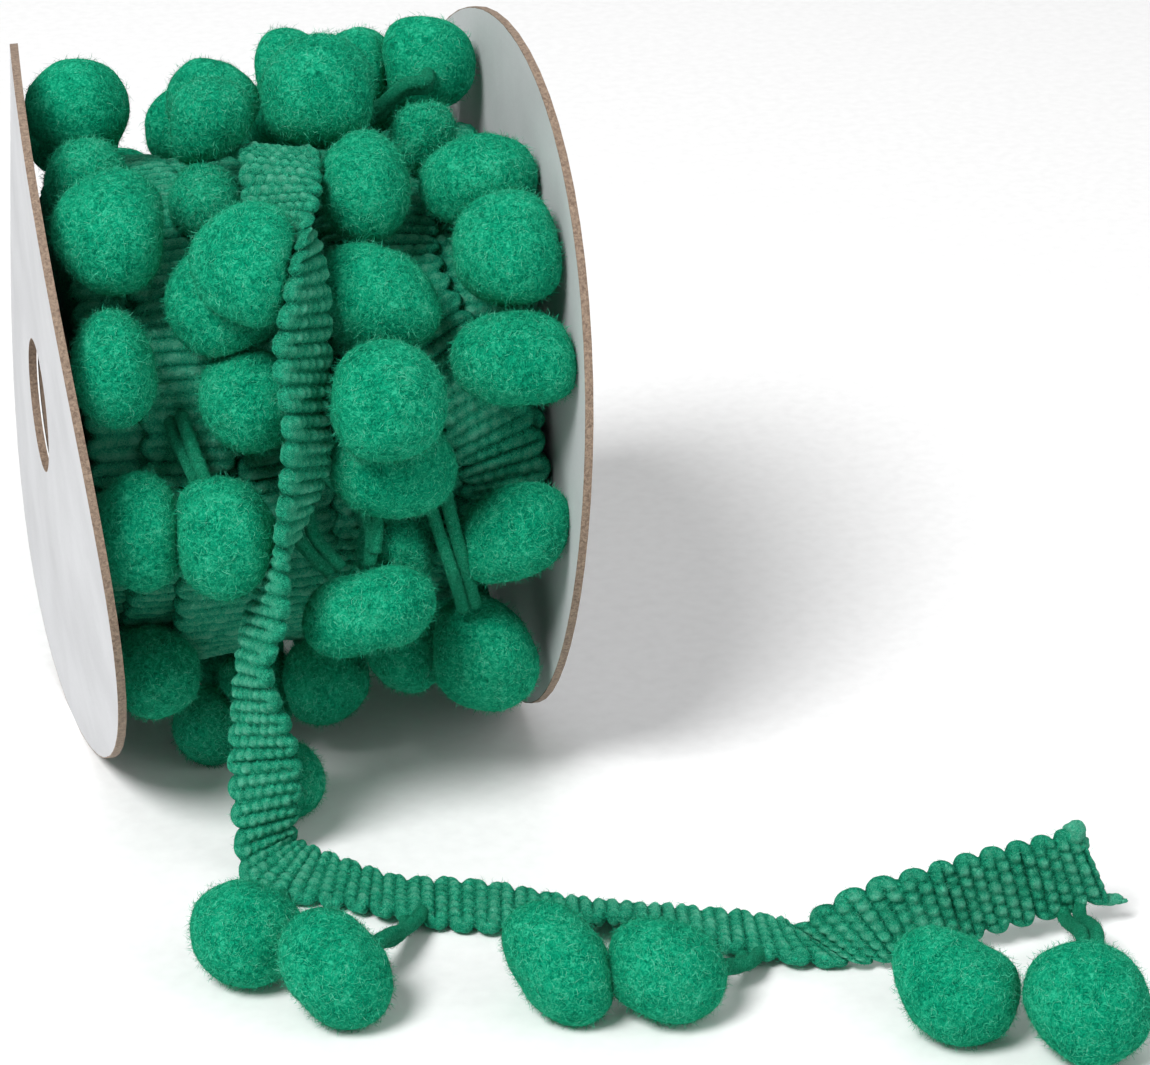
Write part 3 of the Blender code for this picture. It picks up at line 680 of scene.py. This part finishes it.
# %% Stations of the loose end
TAIL = (
    # fringed edge          plain edge
    ((-4.0, -5.6, 76.6), (3.6, -11.0, 77.6)),
    ((-5.2, -9.4, 79.2), (3.0, -15.6, 80.0)),
    ((-5.9, -15.0, 79.5), (1.8, -22.0, 79.9)),
    ((-6.4, -20.2, 76.4), (0.4, -27.6, 79.0)),
    ((-0.8, -26.8, 74.8), (-3.4, -36.6, 77.0)),
    ((0.2, -32.0, 69.9), (-5.8, -40.2, 72.0)),
    ((-0.2, -34.6, 63.9), (-7.6, -41.8, 65.7)),
    ((-0.8, -36.2, 56.5), (-7.2, -44.2, 58.4)),
    ((-1.4, -36.8, 48.9), (-7.9, -45.0, 50.9)),
    ((-4.6, -36.6, 42.2), (-8.8, -46.0, 44.3)),
    ((-9.2, -37.0, 36.3), (-8.6, -46.9, 39.0)),
    ((-11.4, -36.8, 30.8), (-8.9, -46.5, 33.7)),
    ((-12.3, -36.6, 25.5), (-10.7, -46.0, 28.7)),
    ((-13.1, -36.6, 20.7), (-10.3, -45.5, 24.4)),
    ((-13.8, -37.2, 16.6), (-8.6, -44.9, 19.6)),
    ((-14.7, -39.2, 11.2), (-7.2, -43.8, 13.4)),
    ((-15.0, -41.6, 7.2), (-7.1, -42.8, 8.4)),
    ((-15.0, -43.4, 4.2), (-7.5, -42.0, 4.8)),
    ((-15.3, -45.6, 1.8), (-7.6, -41.5, 2.4)),
    ((-14.6, -49.8, 1.1), (-6.8, -42.1, 1.2)),
    ((-11.4, -53.2, 1.1), (-5.6, -43.6, 1.1)),
    ((-7.0, -56.0, 1.2), (-3.4, -46.2, 1.0)),
    ((-3.2, -59.0, 1.6), (-0.4, -49.6, 1.0)),
    ((0.6, -62.4, 1.9), (2.8, -53.0, 1.0)),
    ((6.3, -65.1, 1.1), (8.6, -55.0, 1.0)),
    ((12.1, -67.9, 1.6), (14.7, -58.2, 1.0)),
    ((17.9, -71.2, 3.7), (20.0, -62.2, 1.0)),
    ((22.6, -74.3, 5.1), (25.1, -65.4, 1.0)),
    ((26.4, -75.8, 5.1), (28.9, -67.0, 1.0)),
    ((32.6, -78.8, 3.2), (35.0, -69.4, 1.0)),
    ((37.5, -81.0, 2.0), (39.9, -71.4, 1.0)),
    ((43.1, -83.8, 1.6), (43.4, -74.0, 1.1)),
    ((48.6, -85.0, 1.1), (44.7, -77.4, 2.0)),
    ((52.6, -85.6, 1.2), (46.9, -81.4, 7.0)),
    ((55.8, -85.8, 1.5), (51.0, -84.2, 10.8)),
    ((59.8, -85.8, 1.9), (56.6, -85.2, 12.2)),
    ((65.2, -85.0, 2.4), (62.2, -84.6, 12.7)),
    ((70.6, -84.6, 2.8), (67.8, -84.2, 13.1)),
    ((76.0, -84.0, 3.1), (72.8, -83.8, 13.3)),
    ((81.2, -83.4, 3.4), (77.0, -83.0, 13.4)),
)
print("stations:", len(TAIL))

# %% [markdown]
# The two edges have different lengths at the corner and at the crease, so the ribs are
# spaced by the tape's middle line. Each rib then fans out a little on the outside of a
# bend, as it does on real tape.

# %% Tail tape
def smooth_between(points, steps):
    """Points along a Catmull-Rom curve, steps of them from each point to the next."""
    points = np.asarray(points, float)
    last = len(points) - 1
    t = (np.arange(steps) / steps)[:, None]
    curve = []
    for i in range(last):
        before, start = points[max(i - 1, 0)], points[i]
        end, after = points[i + 1], points[min(i + 2, last)]
        curve.append(0.5 * (2 * start + (end - before) * t
                            + (2 * before - 5 * start + 4 * end - after) * t ** 2
                            + (3 * start - before - 3 * end + after) * t ** 3))
    return np.concatenate(curve + [points[-1:]])


def even_rows(curves, step, racks=(0.0, 0.0), racked=(0.0, 1.0)):
    """The same curves at even steps of their mean line, and the distance along it. A rack
    runs a curve's end of each rib ahead by its mm, most in the middle of racked."""
    middle = np.mean(curves, 0)
    along = np.concatenate([[0], np.cumsum(np.linalg.norm(np.diff(middle, axis=0), axis=1))])
    at = np.linspace(0, along[-1], int(along[-1] / step) + 1)
    swell = np.sin(np.pi * np.clip((at - racked[0]) / (racked[1] - racked[0]), 0, 1)) ** 2
    return [np.stack([np.interp(at + rack * swell, along, curve[:, k]) for k in range(3)], 1)
            for curve, rack in zip(curves, racks)], at


TAIL_STEP, TAIL_COLUMNS = 0.28, 32
RACKS, RACKED = (1.3, -0.6), (20.0, 76.0)   # the hanging twist pulls the ribs aslant
CURLED = (28.0, 84.0)                       # the plain edge is curled over between these
FLAT_HALF, CROWN_LIFT = 0.40, 0.95          # half the ground's thickness, and its relief
NOTCHES = (0.75, 0.6)                       # how deep the notches are on each face


def cloth_strip(fringed, plain, along, columns):
    """Both faces of a woven strip between two edge curves, as one closed skin."""
    middle, across = (fringed + plain) / 2, (plain - fringed) / 2
    heading = np.gradient(middle, axis=0)
    facing = np.cross(heading, across)
    facing /= np.linalg.norm(facing, axis=1, keepdims=True)
    share = np.sin(np.linspace(-0.5, 0.5, columns) * math.pi * 0.96) / math.sin(0.48 * math.pi)
    share = 0.35 * share + 0.65 * np.linspace(-1, 1, columns)
    over = share * half_width(along[:, None], share)
    rounded = np.sqrt(np.maximum(1 - np.abs(share) ** EDGE_ROUNDING, 0))[None, :]
    sides = []
    for face, notch in zip((1, -1), NOTCHES):
        in_curl = (along[:, None] - CURLED[0]) / (CURLED[1] - CURLED[0])
        curl = np.sin(np.pi * np.clip(in_curl, 0, 1)) ** 0.5
        height = edged(relief(along[:, None], over + EVEN_ZERO, notch), share,
                       along[:, None], curl)
        lift = face * rounded * (FLAT_HALF + CROWN_LIFT * height)
        spots = middle[:, None] + across[:, None] / (TAPE_WIDTH / 2) * over[..., None] \
            + facing[:, None] * lift[..., None]
        # The depth is lowered towards the rounded edge, so the edge is painted in shade.
        sides.append((spots, np.broadcast_to(height * (0.55 + 0.45 * rounded), lift.shape)))
    front, back = sides
    spots = np.concatenate([front[0], back[0][:, -2:0:-1], front[0][:, :1]], 1)
    depth = np.concatenate([front[1], back[1][:, -2:0:-1], front[1][:, :1]], 1)
    return spots, depth


(fringed, plain), along = even_rows(
    [smooth_between([station[side] for station in TAIL], 8) for side in (0, 1)], TAIL_STEP,
    RACKS, RACKED)
spots, depth = cloth_strip(fringed, plain, along, TAIL_COLUMNS)
spots[..., 2] = np.maximum(spots[..., 2], 0.05)

# %% [markdown]
# The skin is a tube with a seam, so its doubles are merged and its two ends are filled.
# At the cut end the outer thread has slipped into a soft knot at the top corner, and the
# thread of the fringed edge ends in a short loose point.

# %% Close the tape and finish its cut end
def close_skin(spots, depth):
    """Points, faces and depths of a tube grid with its seam merged and its ends filled."""
    rows, columns = depth.shape
    mesh = bpy.data.meshes.new("skin")
    mesh.from_pydata(spots.reshape(-1, 3).tolist(), [], grid_faces(rows, columns).tolist())
    bm = bmesh.new()
    bm.from_mesh(mesh)
    bpy.data.meshes.remove(mesh)
    layer = bm.verts.layers.float.new("depth")
    bm.verts.ensure_lookup_table()
    for vertex, value in zip(bm.verts, depth.reshape(-1)):
        vertex[layer] = value
    bmesh.ops.remove_doubles(bm, verts=bm.verts[:], dist=1e-4)
    rim = [edge for edge in bm.edges if edge.is_boundary]
    bmesh.ops.holes_fill(bm, edges=rim, sides=0)
    bmesh.ops.triangulate(bm, faces=[face for face in bm.faces if len(face.verts) > 4])
    bm.normal_update()
    bmesh.ops.recalc_face_normals(bm, faces=bm.faces[:])
    values = np.array([vertex[layer] for vertex in bm.verts])
    points, faces = arrays(bm)
    return points, faces, values


def knot(centre, size, seed):
    """A soft lump of yarn. size is its three half axes."""
    bm = bmesh.new()
    bmesh.ops.create_icosphere(bm, subdivisions=3, radius=1)
    for vertex in bm.verts:
        bump = 1 + 0.22 * noise.noise(vertex.co * 1.8 + Vector((seed, 0, 0)))
        vertex.co = Vector(centre) + Vector([a * b for a, b in zip(vertex.co, size)]) * bump
    points, faces = arrays(bm)
    return points, faces.tolist(), 0.85


skin_points, skin_faces, skin_depth = close_skin(spots, depth)
KNOTS = (
    # middle              half axes
    ((76.6, -83.2, 13.1), (1.5, 1.1, 1.5)),
    ((77.6, -83.1, 11.4), (1.0, 0.9, 1.0)),
    ((81.8, -83.5, 3.4), (1.5, 0.6, 0.75)),
    ((83.0, -83.6, 3.0), (0.9, 0.3, 0.35)),
)
tail_parts = [(skin_points, skin_faces.tolist(), skin_depth)]
tail_parts += [knot(centre, size, seed) for seed, (centre, size) in enumerate(KNOTS, 3)]
tail_tape = make_piece("tail_tape_woven", tail_parts, "depth", woven,
                       ("tail_tape",))
TAPE_FIBRES = 12000
rng = np.random.default_rng(5)
roots, outward = spread(skin_points, skin_faces, TAPE_FIBRES, rng)
# The fuzz takes values near the crowns', so that it is painted as pale as a lit crown.
tail_fuzz = make_piece("tail_tape_fuzz", [ribbons(
    roots, outward, rng.uniform(0.5, 1.3, TAPE_FIBRES), rng.uniform(-0.03, 0.25, TAPE_FIBRES),
    rng, tone_and_painted_light=(0.8, 0.15))], "depth", woven)
print("tail tape triangles:", made_triangles[-1])

# %% [markdown]
# ## The winding
# Under the pompoms the tape goes round and round the tube. What shows between the balls is
# a few turns on top, each at its own place and slant, and the shade of the turns below
# them. The turns on top get the same weave as the loose end, on the one face that shows,
# with their edges turned down, and three of them hang slack on the underside. The turns
# below are one drum with ribs in it.

# %% Turns on top
TURNS = (
    # place  sway waves angle radius slack
    (-17.0, 1.5, 2, 40, 29.5, 0),
    (17.0, -5.5, 3, 50, 30.0, 0),
    (-6.0, 2.5, 1, 300, 28.5, 4.0),
    (5.5, 3.0, 1, 60, 28.0, 5.0),
    (-21.5, 0.8, 1, 180, 27.5, 0),
    (21.5, 0.6, 2, 200, 28.5, 0),
    (-13.5, 0.8, 1, 300, 26.4, 7.0),
)
TURN_STEP, TURN_COLUMNS = 0.42, 25
SLACK_ANGLE = 295.0         # a slack turn hangs away from the winding here
TURNED_DOWN = 1.1           # how far the edges of a turn reach in, mm


def turn_strip(number, turn):
    """One turn of tape round the reel, from its row of the table."""
    place, sway, waves, peak, radius, slack = turn
    angles = np.linspace(0, 360, 721)
    hangs = np.maximum(np.cos(np.radians(angles - SLACK_ANGLE)), 0) ** 2
    middle = on_reel(place + sway * np.cos(np.radians(waves * (angles - peak))), angles,
                     radius - 0.4 + slack * hangs)
    (middle,), along = even_rows([middle], TURN_STEP)
    ribs = round(along[-1] / SCALLOP)
    along = along * (ribs * SCALLOP / along[-1])
    heading = np.gradient(middle, axis=0)
    outward = middle - np.stack([middle[:, 0], 0 * along, 0 * along + AXIS_HEIGHT], 1)
    outward /= np.linalg.norm(outward, axis=1, keepdims=True)
    across = np.cross(outward, heading)
    across /= np.linalg.norm(across, axis=1, keepdims=True)
    share = np.concatenate([[-1.0], np.linspace(-1, 1, TURN_COLUMNS), [1.0]])
    rounded = np.sqrt(np.maximum(1 - np.abs(share) ** EDGE_ROUNDING, 0))
    rounded[0] = rounded[-1] = -TURNED_DOWN
    over = share * half_width(along[:, None], share)
    notch = 0.25 + 0.3 * (number % 2)
    height = edged(relief(along[:, None], over + EVEN_ZERO, notch, 31 * number), share,
                   along[:, None])
    lift = np.where(rounded > -0.5, rounded * (0.3 + 0.8 * height), -TURNED_DOWN)
    spots = middle[:, None] + across[:, None] * over[..., None] \
        + outward[:, None] * lift[..., None]
    # The depth is lowered towards the edges and held at 0.3 on the turned-down ones, which
    # paints shade where the tape turns under.
    return spots, height * np.where(rounded > 0, 0.55 + 0.45 * rounded, 0.3)


turn_parts, turns_length = [], 0.0
for number, turn in enumerate(TURNS):
    spots, depth = turn_strip(number, turn)
    middle_column = spots[:, TURN_COLUMNS // 2 + 1]
    turns_length += np.linalg.norm(np.diff(middle_column, axis=0), axis=1).sum()
    faces = grid_faces(*depth.shape)
    turn_parts.append((spots.reshape(-1, 3), faces[:, ::-1].tolist(), depth.reshape(-1)))
turns = make_piece("wound_turns_woven", turn_parts, "depth", woven,
                   ("wound_trim",))
TURN_FIBRES = 16000
rng = np.random.default_rng(6)
turn_points, turn_faces, _ = joined(turn_parts)
turn_faces = np.array(turn_faces)
roots, outward = spread(turn_points, turn_faces[:, :3], TURN_FIBRES, rng)
# The fuzz takes values near the crowns', so that it is painted as pale as a lit crown.
turns_fuzz = make_piece("wound_turns_fuzz", [ribbons(
    roots, outward, rng.uniform(0.5, 1.3, TURN_FIBRES), rng.uniform(-0.03, 0.3, TURN_FIBRES),
    rng, tone_and_painted_light=(0.75, 0.15))], "depth", woven)
print("turns on top, mm:", round(turns_length), "triangles", made_triangles[-1])

# %% [markdown]
# The drum of turns below is a ring that is spun round the axis in fine steps, with ribs
# across each turn and a groove where one turn meets the next. Its depth values are held
# low, which paints it in shade, darkest in the grooves and at its ends.

# %% Turns below
WOUND_HALF_LENGTH, BED_RADIUS, BED_TURN = 26.8, 26.6, 9.2
INSIDE_RADIUS = 11.0        # the drum's ends reach in to here, under the discs
BED_ROWS, BED_COLUMNS = 300, 44
angles = np.linspace(0, 360, BED_ROWS + 1)[:, None]
places = np.linspace(-WOUND_HALF_LENGTH, WOUND_HALF_LENGTH, BED_COLUMNS)[None, :]
slant = places + 0.6 * np.sin(np.radians(angles * 2)) + angles / 360 * BED_TURN
in_turn = (slant / BED_TURN) % 1
groove = np.abs(np.sin(np.pi * in_turn)) ** 0.3
ribs = relief(np.radians(angles) * BED_RADIUS + 0 * places, slant, 0.25, 7)
radius = BED_RADIUS - 1.0 + groove * (0.4 + 0.7 * ribs)
spots = on_reel(places + 0 * radius, angles + 0 * radius, radius)
close_in = on_reel(np.array([[-WOUND_HALF_LENGTH]] * (BED_ROWS + 1)), angles, INSIDE_RADIUS)
close_out = on_reel(np.array([[WOUND_HALF_LENGTH]] * (BED_ROWS + 1)), angles, INSIDE_RADIUS)
spots = np.concatenate([close_in, spots, close_out], 1)
# Painted shade: the drum's depth is scaled down to 0.3 and is 0 at its ends, so it comes out
# dark.
depth = np.concatenate([0 * angles, 0.3 * ribs * groove, 0 * angles], 1)
make_piece("wound_turns_below", [(spots.reshape(-1, 3), grid_faces(*depth.shape).tolist(),
                                  depth.reshape(-1))], "depth", woven,
           ("wound_trim",))
print("turns below, triangles:", made_triangles[-1])

# %% [markdown]
# ## Ties
# Each pompom hangs from the fringed edge by two strands of soft plied yarn, about 1.5 mm
# thick each, that lie side by side and go into the ball. Each strand is a curve with a
# round bevel, made a mesh, because a curve keeps an even thickness round tight bends. Its
# radius swells and thins a little along its length.

# %% Tie routes
TIES = (
    # tie, pompom, the way that the two strands lie apart, route
    ("tail_cord_1", "tail_pompom_1", (1, 0.3, 0),
     ((-12.6, -54.0, 1.6), (-13.4, -55.6, 2.2), (-15.0, -59.4, 4.4))),
    ("tail_cord_2", "tail_pompom_2", (1, 0.3, 0.3),
     ((2.4, -62.8, 1.8), (1.6, -64.8, 2.2), (-0.6, -68.4, 3.2), (-3.8, -72.4, 5.2))),
    ("tail_cord_3", "tail_pompom_3", (1, -0.2, 0),
     ((18.4, -71.8, 3.4), (17.8, -73.2, 4.4), (16.8, -75.6, 5.6))),
    ("tail_cord_4", "tail_pompom_4", (1, 0.3, 0),
     ((37.8, -81.4, 2.0), (37.4, -82.8, 2.0), (35.0, -85.6, 3.4))),
    ("tail_cord_5", "tail_pompom_5", (1, 0, 0),
     ((59.2, -86.4, 2.0), (59.0, -88.0, 2.2), (58.4, -91.4, 4.2))),
    ("tail_cord_6", "tail_pompom_6", (1, 0.1, 0),
     ((76.0, -84.6, 3.8), (75.8, -86.6, 3.4), (74.6, -92.0, 5.8), (72.6, -98.0, 8.4))),
)
DRUM_TIES = (
    # the same with places along the axis, angles and radii
    ("drum_cord_1", "drum_pompom_29", (0, -1, 0.9),
     ((11.6, 92.0, 33.0), (14.4, 92.0, 34.6), (17.4, 91.0, 37.2), (20.4, 92.0, 37.2))),
    ("drum_cord_2", "drum_pompom_23", (1, -0.2, 0.5),
     ((11.9, 4.0, 33.4), (12.2, -2.0, 35.6), (13.0, -8.5, 38.0), (14.2, -15.0, 39.8))),
    ("drum_cord_3", "drum_pompom_20", (1, 0.1, 0.3),
     ((-4.6, 3.0, 32.4), (-4.2, -3.0, 34.8), (-3.9, -8.0, 37.0))),
    ("drum_cord_4", "drum_pompom_17", (0.6, -0.6, 0.5),
     ((-17.6, 17.0, 30.6), (-17.4, 14.0, 32.4), (-16.6, 9.0, 35.2))),
)
SECOND_PAIRS = {
    # a second pair of strands that comes out beside a tie: apart and route, as on the drum
    "drum_cord_3": ((0.5, 0.1, 1), ((-0.6, 4.0, 32.0), (1.6, 1.0, 34.6), (4.2, -5.0, 36.6))),
}
STRAND_RADIUS = 0.84
routes = [(cad, pompom, [np.array(p, float) for p in route], apart)
          for cad, pompom, apart, route in TIES]
routes += [(cad, pompom, [on_reel(*p) for p in route], apart)
           for cad, pompom, apart, route in DRUM_TIES]
print("ties:", len(routes))

# %% [markdown]
# The strands leave the tape's edge together, come closer towards the ball, and end inside
# it, so that its fibres hide where they are sewn. They get fibres of their own.

# %% Tie strands
def strand(points, seed):
    """A soft round strand along points, with closed ends."""
    route = smooth_between(points, 8)
    data = bpy.data.curves.new("strand", "CURVE")
    data.dimensions, data.bevel_depth, data.bevel_resolution = "3D", STRAND_RADIUS, 3
    data.use_fill_caps = True
    spline = data.splines.new("POLY")
    spline.points.add(len(route) - 1)
    for index, (target, point) in enumerate(zip(spline.points, route)):
        target.co = (*point, 1)
        target.radius = 1 + 0.14 * noise.noise(Vector((index * 0.7, seed, 0)))
    holder = bpy.data.objects.new("strand", data)
    mesh = bpy.data.meshes.new_from_object(holder)
    bm = bmesh.new()
    bm.from_mesh(mesh)
    bmesh.ops.remove_doubles(bm, verts=bm.verts[:], dist=1e-4)
    bm.normal_update()
    bmesh.ops.recalc_face_normals(bm, faces=bm.faces[:])
    bpy.data.objects.remove(holder)
    bpy.data.curves.remove(data)
    bpy.data.meshes.remove(mesh)
    return arrays(bm)


INTO_THE_BALL = 0.45        # share of the way from the route's end to the ball's middle


def tie_parts(route, aim, apart, seed):
    """Two strands side by side from the tape's edge into a pompom."""
    rng = np.random.default_rng(seed)
    end = route[-1] + (aim - route[-1]) * INTO_THE_BALL
    points = np.array(route + [end])
    aside = np.array(apart, float) / np.linalg.norm(apart)
    found = []
    for sign in (-1, 1):
        spread_out = np.linspace(1.1, 0.8, len(points))[:, None]
        wobble = 0.08 * rng.normal(size=points.shape)
        path = points + sign * aside * (STRAND_RADIUS + 0.12) * spread_out + wobble
        path[:, 2] = np.maximum(path[:, 2], STRAND_RADIUS)
        skin_points, skin_faces = strand(path, seed + sign)
        found.append((skin_points, skin_faces.tolist(), 0.62))
        count = int(70 * len(points))
        roots, outward = spread(skin_points, skin_faces, count, rng)
        # The fibres take values above the strand's, so that they are painted paler than it, as
        # lit fuzz.
        found.append(ribbons(roots, outward, rng.uniform(0.5, 1.2, count),
                             rng.uniform(-0.05, 0.3, count), rng, tone_and_painted_light=(0.8, 0.2)))
    return found


tie_lengths = {}
for seed, (cad, pompom, route, apart) in enumerate(routes):
    low, high = (np.array(corner, float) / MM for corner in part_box(pompom))
    aim = (low + high) / 2 - SHIFT
    parts = tie_parts(route, aim, apart, 40 + seed)
    if cad in SECOND_PAIRS:
        second_apart, second = SECOND_PAIRS[cad]
        parts += tie_parts([on_reel(*p) for p in second], aim, second_apart, 60 + seed)
    make_piece(cad.replace("cord", "tie"), parts, "depth", tie_yarn, (cad,))
    tie_lengths[cad] = sum(np.linalg.norm(np.diff(np.array(route), axis=0), axis=1))
print("tie lengths, mm:", {name: round(float(x), 1) for name, x in tie_lengths.items()})

# %% [markdown]
# The loose end is a strip that was woven flat, 10.4 mm wide, and the turns on top are
# lengths of the same tape. Here the triangles of all the pieces are counted.

# %% Triangles
print("triangles added:", sum(made_triangles))
